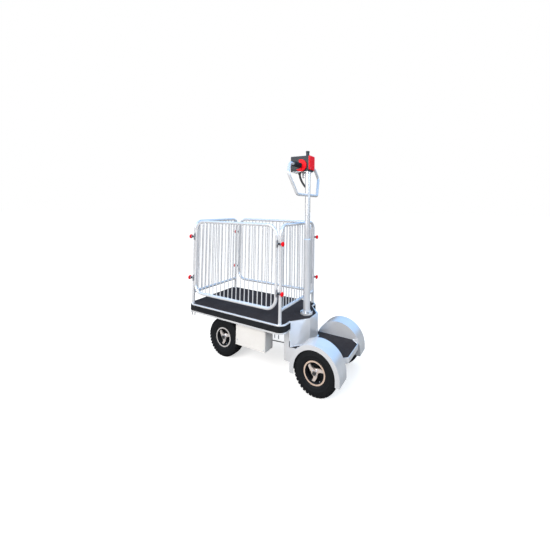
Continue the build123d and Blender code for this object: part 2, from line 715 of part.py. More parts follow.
def mast():
    """Steering mast: shaft, arm, lower tube, slimmer upper tube and end cap."""
    foot = DECK_PLATE_TOP + FLANGE_H + SIDE_GAP / 2
    top = HEAD_LOW - BRACKET_SHEET
    arm_top = BOSS_LOW - SIDE_GAP
    arm_low = arm_top - FORK_SHEET
    post = rod_z(MAST_X, 0, arm_low, foot, SHAFT_R)
    post += rod_z(MAST_X, 0, foot, foot + COLLAR_H, COLLAR_R)
    post += rod_z(MAST_X, 0, foot, MAST_SEAM, LOWER_TUBE_R)
    post += Pos(MAST_X, 0, MAST_SEAM + SEAM_TAPER / 2) * Cone(LOWER_TUBE_R, UPPER_TUBE_R, SEAM_TAPER)
    post += rod_z(MAST_X, 0, MAST_SEAM, top, UPPER_TUBE_R)
    post += rod_z(MAST_X, 0, top - CAP_H, top, CAP_R)
    post += arm(MAST_X, 0, 0, -STEER_ARM, arm_low, arm_top)
    post += rod_z(MAST_X, -STEER_ARM, arm_top, arm_top + SIDE_GAP + LINK_EYE_H, LINK_PIN_R)
    return post - rod_y(MAST_X, -2 * UPPER_TUBE_R, 2 * UPPER_TUBE_R, LOOP_LOW_Z, LOOP_R)


def loop_x(z):
    """The handle loop's plane slants from the mast forward to the grips."""
    return MAST_X + (GRIP_X - MAST_X) * (z - LOOP_LOW_Z) / (GRIP_Z - LOOP_LOW_Z)


def handle_loop():
    """Bent tube that carries both grips and closes under them through the mast."""
    left = [(GRIP_X, HEAD_HALF, GRIP_Z), (GRIP_X, GRIP_HALF, GRIP_Z),
            (loop_x(LOOP_WIDE_Z), LOOP_WIDE_HALF, LOOP_WIDE_Z), (MAST_X, LOOP_LOW_HALF, LOOP_LOW_Z)]
    right = [(x, -y, z) for x, y, z in reversed(left)]
    return tube_path(FilletPolyline(*left, *right, radius=LOOP_BEND), LOOP_R)


def grip(side):
    """Rubber sleeve on the handle tube."""
    start = side * GRIP_IN
    end = side * (GRIP_IN + GRIP_LENGTH)
    sleeve = rod_y(GRIP_X, start, end, GRIP_Z, GRIP_R)
    sleeve = fillet(sleeve.edges().filter_by(GeomType.CIRCLE), GRIP_R / 6)
    return sleeve - rod_y(GRIP_X, start, end, GRIP_Z, LOOP_R)


def control_box():
    """Housing of the controls, with a small lamp dome on top."""
    box = block(HEAD_REAR, HEAD_FRONT, -HEAD_HALF, HEAD_HALF, HEAD_LOW, HEAD_TOP)
    box = fillet(box.edges().filter_by(Axis.X), HEAD_ROUND)
    front = box.faces().sort_by(Axis.X)[-1]
    box = fillet(front.edges(), HEAD_ROUND / 2)
    lamp = rod_z(LAMP_X, 0, HEAD_TOP, HEAD_TOP + LAMP_H, LAMP_R)
    return box + fillet(lamp.edges().sort_by(Axis.Z)[-1], LAMP_H / 2)


def red_cap():
    """Moulded cap over the box's rear face."""
    cap = block(HEAD_REAR - CAP_DEPTH, HEAD_REAR, -HEAD_HALF, HEAD_HALF, CAP_LOW, HEAD_TOP)
    cap = fillet(cap.edges().filter_by(Axis.X), HEAD_ROUND)
    return fillet(cap.faces().sort_by(Axis.X)[0].edges(), CAP_ROUND)


def throttle_paddle():
    """C-shaped lever behind the left grip, on a clamp round the handle tube."""
    outline = Pos(-PADDLE_BACK, 0) * Circle(PADDLE_R)
    outline -= Circle(PADDLE_BORE_R)
    outline -= Pos(PADDLE_R, PADDLE_R / 10) * Rectangle(2 * PADDLE_R - 16, 1.4 * PADDLE_R)
    outline -= Pos(PADDLE_R, PADDLE_R) * Rectangle(2 * PADDLE_R - 16, PADDLE_R)
    neck = Pos(-PADDLE_BORE_R / 2 - 6, 0) * Rectangle(PADDLE_BORE_R + 8, LOOP_R)
    clamp = Circle(LOOP_R + 5)
    face = outline + neck + clamp - Circle(LOOP_R)
    lever = extrude(Plane.XZ * face, PADDLE_SHEET, dir=(0, 1, 0))
    return Pos(GRIP_X, PADDLE_IN, GRIP_Z) * lever


def top_knob():
    """Round stop button with a wider cap."""
    top = HEAD_TOP + TOP_KNOB_H
    stem = rod_z(TOP_KNOB_X, 0, HEAD_TOP, top, TOP_KNOB_NECK_R)
    cap = rod_z(TOP_KNOB_X, 0, top - TOP_KNOB_CAP, top, TOP_KNOB_R)
    return stem + fillet(cap.edges().filter_by(GeomType.CIRCLE), TOP_KNOB_CAP / 5)


def head_bracket():
    """Plate that bolts the box to the mast."""
    outline = Pos((HEAD_REAR + HEAD_FRONT) / 2, 0) * RectangleRounded(
        HEAD_FRONT - HEAD_REAR - HEAD_ROUND, 2 * HEAD_HALF - HEAD_ROUND, HEAD_ROUND)
    return plate(outline, HEAD_LOW - BRACKET_SHEET, HEAD_LOW)


def conduit():
    """Cable conduit from the box's underside to the mast's front."""
    start = HEAD_LOW - BRACKET_SHEET
    path = FilletPolyline((CONDUIT_X, CONDUIT_Y, start), (CONDUIT_X, CONDUIT_Y, start - CONDUIT_DROP),
                          (MAST_X + UPPER_TUBE_R / 2, 0, CONDUIT_END_Z), radius=CONDUIT_BEND)
    hose = tube_path(path, CONDUIT_R)
    return hose - rod_z(MAST_X, 0, LOOP_LOW_Z, HEAD_LOW, UPPER_TUBE_R)


def key_switch():
    """Lock barrel with its key, under the bracket."""
    top = HEAD_LOW - BRACKET_SHEET
    lock = rod_z(KEY_X, KEY_Y, top - KEY_H, top, KEY_R)
    blade = block(KEY_X - KEY_R, KEY_X + KEY_R, KEY_Y - KEY_SHEET / 2, KEY_Y + KEY_SHEET / 2,
                  top - KEY_H - KEY_BLADE, top - KEY_H)
    return lock + blade


def save_chassis():
    """Pieces of the body that everything else is hung on."""
    save("deck_frame", deck_frame())
    save("deck_mat", deck_mat())
    save("bumper", bumper())
    save("column_cover", column_cover())
    save("rear_chassis", rear_chassis())
    save("platform_mat", platform_mat())
    save("fenders", *[fender(side) for _, side in SIDES])
    save("battery_boxes", *[battery_box(side) for _, side in SIDES])
    save("rear_axle", rear_axle())
    save("drive_motor", drive_motor())
    save("front_axle", front_axle())
    save("mast_flange", mast_flange())
    hooks = [(x, y) for x in (HOOK_REAR_X, HOOK_FRONT_X) for y in (-HOOK_Y, HOOK_Y)]
    save("corner_hooks", *[corner_hook(x, y) for x, y in hooks])


def save_cage():
    """End frames, drop sides and the latches between them."""
    places = []
    for name, x, out in (("rear", LEG_REAR_X, -1), ("front", LEG_FRONT_X, 1)):
        frame = end_tube(x)
        save(f"{name}_end_tube", frame)
        save(f"{name}_end_grille", end_grille(x, frame))
        places += [(x, out, side, z) for side in (-1, 1) for z in (LATCH_LOW_Z, LATCH_HIGH_Z)]
    save("latch_pins", *[latch_pin(*place) for place in places])
    save("latch_knobs", *[latch_knob(*place) for place in places])
    for name, side in SIDES:
        save(f"gate_{name}", gate(side))
        save(f"gate_ears_{name}", *[gate_ear(x, side, z) for x in (GATE_REAR_X, GATE_FRONT_X)
                                    for z in (LATCH_LOW_Z, LATCH_HIGH_Z)])


def save_mast():
    """The mast and what turns with it."""
    save("mast", mast())
    save("handle_loop", handle_loop())
    save("grips", *[grip(side) for _, side in SIDES])
    save("control_box", control_box())
    save("red_cap", red_cap())
    save("throttle_paddle", throttle_paddle())
    save("top_knob", top_knob())
    save("head_bracket", head_bracket())
    save("conduit", conduit())
    save("key_switch", key_switch())


def save_running_gear():
    """Steering links, knuckles and wheels."""
    save("tie_rod", tie_rod())
    save("drag_link", drag_link())
    for name, side in SIDES:
        save(f"knuckle_{name}", knuckle(side))
        for axle, x, track in (("rear", 0, REAR_TRACK_HALF), ("front", WHEELBASE, FRONT_TRACK_HALF)):
            save(f"tyre_{axle}_{name}", tyre(x, side * track))
            save(f"rim_{axle}_{name}", rim(x, side * track, side))


os.makedirs("parts", exist_ok=True)
save_chassis()
save_cage()
save_mast()
save_running_gear()
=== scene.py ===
"""Looks of the stand-on electric cart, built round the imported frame.

Sizes are the drawing's millimetres, with x = 0 at the rear axle, unless a comment says metres.
+X is forward, +Y left and +Z up.
"""
import json
import math

import bmesh
import bpy
from mathutils import Matrix, Vector


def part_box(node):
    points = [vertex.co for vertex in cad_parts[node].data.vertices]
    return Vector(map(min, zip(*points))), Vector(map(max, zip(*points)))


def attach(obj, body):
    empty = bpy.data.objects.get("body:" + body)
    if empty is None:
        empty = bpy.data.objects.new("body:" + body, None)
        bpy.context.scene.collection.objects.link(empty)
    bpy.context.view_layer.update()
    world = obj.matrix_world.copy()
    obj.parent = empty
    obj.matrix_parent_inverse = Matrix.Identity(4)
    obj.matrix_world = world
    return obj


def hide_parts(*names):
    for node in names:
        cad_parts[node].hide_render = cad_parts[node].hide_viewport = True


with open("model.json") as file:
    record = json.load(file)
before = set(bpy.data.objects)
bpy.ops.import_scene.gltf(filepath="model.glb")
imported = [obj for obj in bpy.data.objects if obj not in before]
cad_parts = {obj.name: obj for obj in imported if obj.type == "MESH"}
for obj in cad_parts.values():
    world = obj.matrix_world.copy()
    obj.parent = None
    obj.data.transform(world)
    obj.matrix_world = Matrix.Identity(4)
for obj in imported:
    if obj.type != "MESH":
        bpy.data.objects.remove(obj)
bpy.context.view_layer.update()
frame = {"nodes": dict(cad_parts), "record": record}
AXLE_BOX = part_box("tyre_rear_left")
MIDDLE_X = -500 * (AXLE_BOX[0].x + AXLE_BOX[1].x)

# The photograph's frame in pixels, and the camera that was fitted to it
IMAGE = 550
FOCAL_PX = 279.07
CENTRE_PX = (299.49, 192.45)
SENSOR = 36
CAMERA_PLACE = (-843.14, 2075.97, 1305.24)
CAMERA_ANGLES = (-61.445, -2.939, 0.695)

# Places that come from the solids
SIDES = (("left", 1), ("right", -1))
WHEEL_R = 165
WHEELBASE = 915
REAR_TRACK_HALF = 241
FRONT_TRACK_HALF = 155
HUB_FACE = 40
DECK_TOP = 435
TUBE_R = 12.5
BAR_R = 4
CAGE_TOP = 1163
CAGE_RAIL_Z = 532
LEG_REAR_X = 288
LEG_FRONT_X = 1208
LEG_Y = 279
END_BARS = 12
GATE_Y = 290
GATE_REAR_X = 320
GATE_FRONT_X = 1176
GATE_BEND = 85
GATE_BARS = 19
LATCH_Y = 300
LATCH_ZS = (660, 1026)
BARREL_R = 9
BARREL_HALF = 13
MAST_X = 208
LOWER_TUBE_R = 28.5
UPPER_TUBE_R = 22
FLANGE_TOP = 453
MAST_FOOT = FLANGE_TOP + 13
HEAD_TOP = 1729
HEAD_LOW = HEAD_TOP - 130
HEAD_REAR = MAST_X - 29
HEAD_FRONT = HEAD_REAR + 171
HEAD_HALF = 47.5
CAP_FACE = HEAD_REAR - 12
BRACKET_LOW = HEAD_LOW - 4
LOOP_R = 11.5
GRIP_X = MAST_X + 45
GRIP_Z = HEAD_TOP - 82
GRIP_IN = 70
LOOP_LOW_Z = GRIP_Z - 245
KEY_X = MAST_X + 53
KEY_Y = -20
PLATFORM_HALF = 164
MOTOR_REAR = 35
MOTOR_FRONT = MOTOR_REAR + 110
GEAR_HALF = 48
LID_FACE = 264

# Sockets of the Mix node that carry colour
MIX_FACTOR, MIX_A, MIX_B, MIX_RESULT = 0, 6, 7, 2

# A profile that ends this near its axis closes there, because points so near are merged
TIP = 0.01


def at(x, y, z):
    """A place in metres in the shared frame, from the drawing's millimetres."""
    return Vector(((x - MIDDLE_X) / 1000, y / 1000, z / 1000))


def facing(where, direction):
    """Local Z along a direction, at a place of the drawing."""
    turn = Vector(direction).to_track_quat("Z", "Y").to_matrix().to_4x4()
    return Matrix.Translation(Vector(where)) @ turn


def round_axle(x, y, radius, degrees):
    """A place at an angle round a wheel's axle."""
    a = math.radians(degrees)
    return (x + radius * math.cos(a), y, WHEEL_R + radius * math.sin(a))


def make_camera():
    """The photograph's camera, fitted to the cart's edges."""
    yaw, pitch, roll = (math.radians(a) for a in CAMERA_ANGLES)
    flat = math.cos(pitch)
    ahead = Vector((flat * math.cos(yaw), flat * math.sin(yaw), -math.sin(pitch)))
    level = Vector((math.sin(yaw), -math.cos(yaw), 0))
    up = level.cross(ahead)
    right = math.cos(roll) * level + math.sin(roll) * up
    up = -math.sin(roll) * level + math.cos(roll) * up
    data = bpy.data.cameras.new("camera")
    data.sensor_width = SENSOR
    data.lens = FOCAL_PX / IMAGE * SENSOR
    data.shift_x = (IMAGE / 2 - CENTRE_PX[0]) / IMAGE
    data.shift_y = (CENTRE_PX[1] - IMAGE / 2) / IMAGE
    data.clip_start = 0.05
    camera = bpy.data.objects.new("camera", data)
    turn = Matrix((right, up, -ahead)).transposed().to_4x4()
    camera.matrix_world = Matrix.Translation(at(*CAMERA_PLACE)) @ turn
    bpy.context.collection.objects.link(camera)
    bpy.context.scene.camera = camera


class Nodes:
    """Short calls that build a node tree."""

    def __init__(self, tree):
        self.tree = tree
        tree.nodes.clear()

    def new(self, kind, **settings):
        """A node, with its sockets and settings given by name."""
        node = self.tree.nodes.new("ShaderNode" + kind)
        for name, value in settings.items():
            if name in node.inputs:
                node.inputs[name].default_value = value
            else:
                setattr(node, name, value)
        return node

    def join(self, source, target):
        self.tree.links.new(source, target)

    def feed(self, value, socket):
        """A number or a colour is set on the socket, and an output is linked to it."""
        if isinstance(value, (int, float)):
            socket.default_value = value
        elif isinstance(value, tuple):
            socket.default_value = (*value, 1)
        else:
            self.join(value, socket)

    def math(self, operation, *values):
        node = self.new("Math", operation=operation)
        for value, socket in zip(values, node.inputs):
            self.feed(value, socket)
        return node.outputs[0]

    def ramp(self, value, low, high):
        """0 below low and 1 above high, smooth between."""
        node = self.new("MapRange", interpolation_type="SMOOTHSTEP")
        self.join(value, node.inputs["Value"])
        node.inputs["From Min"].default_value = low
        node.inputs["From Max"].default_value = high
        return node.outputs[0]

    def mix(self, factor, a, b):
        """Colour a at factor 0 and colour b at factor 1."""
        node = self.new("Mix", data_type="RGBA")
        for value, socket in ((factor, MIX_FACTOR), (a, MIX_A), (b, MIX_B)):
            self.feed(value, node.inputs[socket])
        return node.outputs[MIX_RESULT]

    def place(self):
        """The point in the piece's own frame in metres, which stays with it in every pose."""
        return self.new("TexCoord").outputs["Object"]

    def split(self, vector):
        node = self.new("SeparateXYZ")
        self.join(vector, node.inputs[0])
        return node.outputs

    def noise(self, scale, detail, roughness=0.5):
        node = self.new("TexNoise", Scale=scale, Detail=detail, Roughness=roughness)
        self.join(self.place(), node.inputs["Vector"])
        return node.outputs["Fac"]

    def bump(self, height, distance, strength, normal=None):
        node = self.new("Bump", Strength=strength, Distance=distance)
        self.join(height, node.inputs["Height"])
        if normal is not None:
            self.join(normal, node.inputs["Normal"])
        return node.outputs[0]


def make_world():
    """Soft white studio. The camera sees plain white, and gloss a cool dome over a dark horizon."""
    world = bpy.data.worlds.new("studio")
    bpy.context.scene.world = world
    world.use_nodes = True
    n = Nodes(world.node_tree)
    height = n.split(n.new("TexCoord").outputs["Generated"])[2]
    ray = n.new("LightPath").outputs
    soft = n.mix(n.ramp(height, -0.1, 0.8), (1.0, 0.985, 0.965), (0.85, 0.93, 1.03))
    dome = n.mix(n.ramp(height, 0.05, 0.34), (0.22, 0.22, 0.23), (0.28, 0.74, 1.42))
    colour = n.mix(ray["Is Glossy Ray"], soft, dome)
    colour = n.mix(ray["Is Camera Ray"], colour, (1.0, 1.0, 1.0))
    light = n.new("Background")
    n.join(colour, light.inputs["Color"])
    full = n.math("MAXIMUM", ray["Is Camera Ray"], ray["Is Glossy Ray"])
    n.join(n.math("MULTIPLY_ADD", full, 0.33, 0.67), light.inputs["Strength"])
    out = n.new("OutputWorld")
    n.join(light.outputs[0], out.inputs["Surface"])


def lamp(name, where, target, size, power, colour):
    """A soft area lamp aimed at a point, in metres."""
    data = bpy.data.lights.new(name, "AREA")
    data.shape = "DISK"
    data.size = size
    data.energy = power
    data.color = colour
    obj = bpy.data.objects.new(name, data)
    obj.location = where
    obj.rotation_euler = (Vector(target) - Vector(where)).to_track_quat("-Z", "Y").to_euler()
    bpy.context.collection.objects.link(obj)


def make_floor():
    """Plain pale floor that runs out to the white surround, 60 m each way."""
    mesh = bpy.data.meshes.new("floor")
    reach = 60.0
    corners = [(-reach, -reach, 0), (reach, -reach, 0), (reach, reach, 0), (-reach, reach, 0)]
    mesh.from_pydata(corners, [], [(0, 1, 2, 3)])
    floor = bpy.data.objects.new("floor", mesh)
    bpy.context.collection.objects.link(floor)
    pale = bpy.data.materials.new("pale_floor")
    pale.use_nodes = True
    n = Nodes(pale.node_tree)
    shader = n.new("BsdfPrincipled", Roughness=0.9)
    shader.inputs["Specular IOR Level"].default_value = 0.0
    ray = n.new("LightPath").outputs
    seen = ray["Is Camera Ray"]
    around = n.mix(ray["Is Glossy Ray"], (0.36, 0.355, 0.35), (0.42, 0.41, 0.4))
    n.join(n.mix(seen, around, (0.82, 0.81, 0.8)), shader.inputs["Base Color"])
    shader.inputs["Emission Color"].default_value = (1, 1, 1, 1)
    n.join(n.math("MULTIPLY", seen, 0.56), shader.inputs["Emission Strength"])
    out = n.new("OutputMaterial")
    n.join(shader.outputs[0], out.inputs["Surface"])
    mesh.materials.append(pale)


def principled(name, colour, rough, metallic=0.0, coat=0.0, coat_rough=0.1, specular=0.5):
    """A material, its node helper and its shader. The caller links the details."""
    made = bpy.data.materials.new(name)
    made.use_nodes = True
    n = Nodes(made.node_tree)
    shader = n.new("BsdfPrincipled", Roughness=rough, Metallic=metallic)
    out = n.new("OutputMaterial")
    n.join(shader.outputs[0], out.inputs["Surface"])
    shader.inputs["Base Color"].default_value = (*colour, 1)
    shader.inputs["Coat Weight"].default_value = coat
    shader.inputs["Coat Roughness"].default_value = coat_rough
    shader.inputs["Specular IOR Level"].default_value = specular
    return made, n, shader


def scaled(colour, share):
    """A darker shade of a colour."""
    return tuple(share * c for c in colour)


def paint(name, colour, rough, metallic, coat):
    """Sprayed paint: faint mottling, orange peel and a little road dust low down."""
    made, n, shader = principled(name, colour, rough, metallic, coat, 0.06)
    cloud = n.noise(7, 3)
    low = n.math("SUBTRACT", 1.0, n.ramp(n.split(n.place())[2], 0.05, 0.38))
    dust = n.math("MULTIPLY", low, n.ramp(n.noise(34, 5, 0.65), 0.42, 0.8))
    clean = n.mix(n.ramp(cloud, 0.35, 0.7), scaled(colour, 0.95), colour)
    dusty = n.mix(n.math("MULTIPLY", dust, 0.2), clean, (0.42, 0.39, 0.35))
    n.join(dusty, shader.inputs["Base Color"])
    n.join(n.math("MULTIPLY_ADD", cloud, 0.1, rough - 0.05), shader.inputs["Roughness"])
    n.join(n.bump(n.noise(160, 1), 0.00002, 0.4), shader.inputs["Normal"])
    return made


def rubber(name, colour, rough, grain=600, depth=0.0002):
    """Moulded rubber with a fine grain and a faint bloom."""
    made, n, shader = principled(name, colour, rough, specular=0.25)
    bloom = n.ramp(n.noise(14, 5, 0.6), 0.35, 0.75)
    lighter = tuple(1.7 * c + 0.004 for c in colour)
    n.join(n.mix(bloom, colour, lighter), shader.inputs["Base Color"])
    n.join(n.bump(n.noise(grain, 3), depth, 0.6), shader.inputs["Normal"])
    return made


def mat_rubber():
    """Charcoal anti-slip mat: a fine raised lozenge pattern, worn paler in patches."""
    made, n, shader = principled("mat_rubber", (0.04, 0.036, 0.038), 0.82, specular=0.1)
    x, y, _ = n.split(n.place())
    waves = 2 * math.pi / 0.0095
    across = n.math("SINE", n.math("MULTIPLY", n.math("ADD", x, y), waves))
    along = n.math("SINE", n.math("MULTIPLY", n.math("SUBTRACT", x, y), waves))
    lozenge = n.ramp(n.math("MULTIPLY", across, along), 0.05, 0.6)
    wear = n.ramp(n.noise(4.5, 5, 0.62), 0.4, 0.75)
    base = n.mix(wear, (0.037, 0.032, 0.034), (0.048, 0.043, 0.045))
    raised = n.mix(n.math("MULTIPLY", lozenge, 0.35), base, (0.065, 0.06, 0.063))
    n.join(raised, shader.inputs["Base Color"])
    n.join(n.math("MULTIPLY_ADD", wear, -0.1, 0.84), shader.inputs["Roughness"])
    fine = n.bump(n.noise(900, 2), 0.00012, 0.5)
    n.join(n.bump(lozenge, 0.0006, 0.8, fine), shader.inputs["Normal"])
    return made


def tyre_rubber():
    """Black tyre rubber with greyer scuffs."""
    made, n, shader = principled("tyre_rubber", (0.01, 0.01, 0.0105), 0.76, specular=0.22)
    scuff = n.ramp(n.noise(26, 6, 0.66), 0.5, 0.85)
    share = n.math("MULTIPLY", scuff, 0.4)
    n.join(n.mix(share, (0.0065, 0.0065, 0.0068), (0.022, 0.021, 0.02)), shader.inputs["Base Color"])
    n.join(n.math("MULTIPLY_ADD", scuff, 0.12, 0.68), shader.inputs["Roughness"])
    n.join(n.bump(n.noise(700, 3), 0.0002, 0.5), shader.inputs["Normal"])
    return made


def bare_metal(name, colour, rough, streak=0.12, scale=180):
    """Bare metal with fine machining marks and a little tarnish."""
    made, n, shader = principled(name, colour, rough, 1.0)
    marks = n.noise(scale, 4, 0.7)
    n.join(n.math("MULTIPLY_ADD", marks, streak, rough - streak / 2), shader.inputs["Roughness"])
    tarnish = n.math("MULTIPLY", n.ramp(n.noise(22, 4), 0.45, 0.8), 0.3)
    n.join(n.mix(tarnish, colour, scaled(colour, 0.6)), shader.inputs["Base Color"])
    n.join(n.bump(marks, 0.00003, 0.4), shader.inputs["Normal"])
    return made


def plastic(name, colour, rough, grain=800, depth=0.00008, flow=0.15, specular=0.5):
    """Moulded plastic with a spark-eroded grain and slight shade changes."""
    made, n, shader = principled(name, colour, rough, coat_rough=0.12, specular=specular)
    shade = n.math("MULTIPLY", n.ramp(n.noise(18, 3), 0.35, 0.7), flow)
    n.join(n.mix(shade, colour, scaled(colour, 0.65)), shader.inputs["Base Color"])
    n.join(n.bump(n.noise(grain, 3), depth, 0.6), shader.inputs["Normal"])
    return made


def make_materials():
    """Every finish, by the record's slot names."""
    return {
        "frame_paint": paint("frame_paint", (0.84, 0.84, 0.86), 0.22, 0.4, 0.4),
        "battery_paint": paint("battery_paint", (0.84, 0.815, 0.785), 0.4, 0.0, 0.2),
        "ear_paint": paint("ear_paint", (0.3, 0.3, 0.31), 0.4, 0.0, 0.2),
        "axle_steel": paint("axle_steel", (0.03, 0.03, 0.032), 0.45, 0.0, 0.1),
        "motor_paint": paint("motor_paint", (0.028, 0.028, 0.03), 0.5, 0.0, 0.1),
        "mat_rubber": mat_rubber(),
        "bumper_rubber": rubber("bumper_rubber", (0.007, 0.007, 0.0075), 0.7),
        "grip_rubber": rubber("grip_rubber", (0.016, 0.0165, 0.02), 0.62, 900, 0.00015),
        "tyre_rubber": tyre_rubber(),
        "latch_black": plastic("latch_black", (0.018, 0.018, 0.019), 0.45),
        "box_black": plastic("box_black", (0.034, 0.034, 0.036), 0.55, 500, 0.00005),
        "knob_red": plastic("knob_red", (1.0, 0.001, 0.01), 0.4, 200, 0.00001, 0.03, 0.2),
        "zinc": bare_metal("zinc", (0.62, 0.62, 0.63), 0.36),
        "rim_alloy": bare_metal("rim_alloy", (0.86, 0.83, 0.8), 0.2, 0.1, 260),
    }


def give_finish(node, finish):
    """Put a finish on a carried-over node."""
    frame["nodes"][node].material_slots[0].material = finish


def dress_nodes():
    """Each carried-over node takes its slot's finish, and the hooks a zinc darkened as painted shade
    for their place under the deck.
    """
    for row in frame["record"]["subparts"]:
        give_finish(row["node"], FINISH[row["material_slot"]])
    # The hooks' zinc is darker to paint in the shade that falls on them under the deck.
    give_finish("corner_hooks", bare_metal("hook_zinc_painted_shade", (0.3, 0.3, 0.31), 0.42))


class Shape:
    """Gathers many small solids into one piece, in the drawing's millimetres."""

    def __init__(self):
        self.verts = []
        self.faces = []

    def add(self, verts, faces, turn=None):
        start = len(self.verts)
        self.verts += [turn @ Vector(v) if turn else Vector(v) for v in verts]
        self.faces += [[start + i for i in face] for face in faces]

    def rings(self, verts, around, closed=False, turn=None):
        """Skin rings of points, each with as many points as around says."""
        rows = len(verts) // around
        faces = []
        for row in range(rows if closed else rows - 1):
            low = row * around
            high = (row + 1) % rows * around
            for n in range(around):
                m = (n + 1) % around
                faces.append((low + n, low + m, high + m, high + n))
        self.add(verts, faces, turn)

    def lathe(self, profile, turn, segments=24, closed=False):
        """Revolve (radius, height) points about the local Z axis."""
        verts = []
        for r, z in profile:
            for n in range(segments):
                a = 2 * math.pi * n / segments
                verts.append((r * math.cos(a), r * math.sin(a), z))
        self.rings(verts, segments, closed, turn)

    def prism(self, outline, z0, z1, turn, bevel):
        """An outline raised along the local Z axis, with a bevelled top edge."""
        n = len(outline)
        cx = sum(p[0] for p in outline) / n
        cy = sum(p[1] for p in outline) / n
        reach = max(math.hypot(x - cx, y - cy) for x, y in outline)
        shrink = 1 - bevel / reach
        verts = [(x, y, z0) for x, y in outline] + [(x, y, z1 - bevel) for x, y in outline]
        verts += [(cx + (x - cx) * shrink, cy + (y - cy) * shrink, z1) for x, y in outline]
        faces = [tuple(reversed(range(n))), tuple(range(2 * n, 3 * n))]
        for row in (0, n):
            for i in range(n):
                j = (i + 1) % n
                faces.append((row + i, row + j, row + n + j, row + n + i))
        self.add(verts, faces, turn)

    def bolt(self, where, direction, size, height):
        """Hexagon head on a washer, standing on a face."""
        turn = facing(where, direction)
        washer_r, washer_h = 1.15 * size, 1.2
        self.lathe([(TIP, 0), (washer_r, 0), (washer_r, washer_h), (TIP, washer_h)], turn, 20)
        head_r = 0.92 * size
        corners = [math.radians(a) for a in range(0, 360, 60)]
        hexagon = [(head_r * math.cos(a), head_r * math.sin(a)) for a in corners]
        self.prism(hexagon, washer_h, washer_h + height, turn, 0.8)

    def screw(self, where, direction, r, height):
        """Domed screw with a recess."""
        dome = [(r, -0.2), (r, height * 0.35), (r * 0.8, height * 0.85), (r * 0.42, height)]
        recess = [(r * 0.36, height * 0.45), (TIP, height * 0.4)]
        self.lathe(dome + recess, facing(where, direction), 14)

    def weld(self, where, direction, r, bead, lumps):
        """A rippled bead round a round bar, where it meets what carries it."""
        verts = []
        faces = []
        sides = 6
        steps = lumps * 3
        for n in range(steps):
            a = 2 * math.pi * n / steps
            swell = bead * (1 + 0.22 * math.sin(lumps * a))
            for m in range(sides):
                b = 2 * math.pi * m / sides
                radius = r + swell * math.cos(b)
                verts.append((radius * math.cos(a), radius * math.sin(a), swell * math.sin(b)))
        for n in range(steps):
            k = (n + 1) % steps
            for m in range(sides):
                j = (m + 1) % sides
                faces.append((n * sides + m, k * sides + m, k * sides + j, n * sides + j))
        self.add(verts, faces, facing(where, direction))

    def piece(self, name, body, slot, replaces=(), crease=35):
        """Make the gathered solids one piece that rides on a body."""
        mesh = bpy.data.meshes.new(name)
        mesh.from_pydata([at(*v) for v in self.verts], [], self.faces)
        work = bmesh.new()
        work.from_mesh(mesh)
        bmesh.ops.remove_doubles(work, verts=work.verts, dist=TIP / 1000)
        bmesh.ops.recalc_face_normals(work, faces=work.faces)
        work.to_mesh(mesh)
        work.free()
        mesh.polygons.foreach_set("use_smooth", [True] * len(mesh.polygons))
        mesh.set_sharp_from_angle(angle=math.radians(crease))
        mesh.materials.append(FINISH[slot])
        obj = bpy.data.objects.new(name, mesh)
        bpy.context.collection.objects.link(obj)
        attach(obj, body)
        if replaces:
            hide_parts(*replaces)
        return obj


# Tyre: half of its section as (radius, distance from the middle), and the tread's lugs. A lug's
# width and slant are shares of the step from one lug to the next
SIDEWALL = [(76, 38), (83, 39.5), (84.5, 43.5), (88, 45.6), (95, 47.4), (97, 48.9), (99, 47.9),
            (107, 49.0), (116, 49.8), (118, 51.0), (120, 50.0), (130, 49.6), (138, 48.6),
            (145, 46.8), (150, 44.2), (154, 40.0), (156.5, 32.0), (158, 18.0), (158.6, 0.0)]
LUGS = 38
LUG_STEP = 2 * math.pi / LUGS
LUG_PHASES = {1: 0.25, -1: 0.75}
SHOULDER_TOP = [(165.0, 19.5), (164.4, 29), (162.6, 38), (158.0, 45.2), (150.5, 49.4), (146.5, 49.4)]
SHOULDER_BASE = [(156.0, 19.5), (155.0, 30), (153.0, 37), (149.0, 42), (145.0, 45), (144.0, 46)]
SHOULDER_WIDE = [0.60, 0.62, 0.66, 0.68, 0.60, 0.46]
TOP_SPREAD, BASE_SPREAD = 0.46, 0.5
CENTRE_LUG = [(2.0, -0.34), (16.0, 0.02), (16.0, 0.60), (2.0, 0.26)]
CENTRE_SHIFT, CENTRE_OFFSET = 0.13, 0.25
CENTRE_LEVELS = ((165.0, 0.9), (157.0, 1.0))


def shoulder_lug(shape, turn, side, middle):
    """A block that wraps over the tyre's shoulder."""
    verts = []
    for (r, w), (rb, wb), wide in zip(SHOULDER_TOP, SHOULDER_BASE, SHOULDER_WIDE):
        for radius, across, spread in ((r, w, TOP_SPREAD * wide), (rb, wb, BASE_SPREAD * wide)):
            for edge in (-1, 1):
                a = middle + edge * spread * LUG_STEP
                verts.append((radius * math.cos(a), radius * math.sin(a), side * across))
    end = 4 * (len(SHOULDER_TOP) - 1)
    faces = []
    for a in range(0, end, 4):
        b = a + 4
        faces += [(a, b, b + 1, a + 1), (a, a + 2, b + 2, b), (a + 1, b + 1, b + 3, a + 3)]
    faces += [(0, 1, 3, 2), (end, end + 2, end + 3, end + 1)]
    shape.add(verts, faces, turn)


def centre_lug(shape, turn, side, middle):
    """A slanted block beside the tyre's middle line."""
    verts = []
    for radius, grow in CENTRE_LEVELS:
        for w, slant in CENTRE_LUG:
            a = middle + (slant - CENTRE_SHIFT) * LUG_STEP * grow + side * CENTRE_OFFSET * LUG_STEP
            verts.append((radius * math.cos(a), radius * math.sin(a), side * w))
    faces = [(0, 1, 2, 3)] + [(i, (i + 1) % 4, (i + 1) % 4 + 4, i + 4) for i in range(4)]
    shape.add(verts, faces, turn)


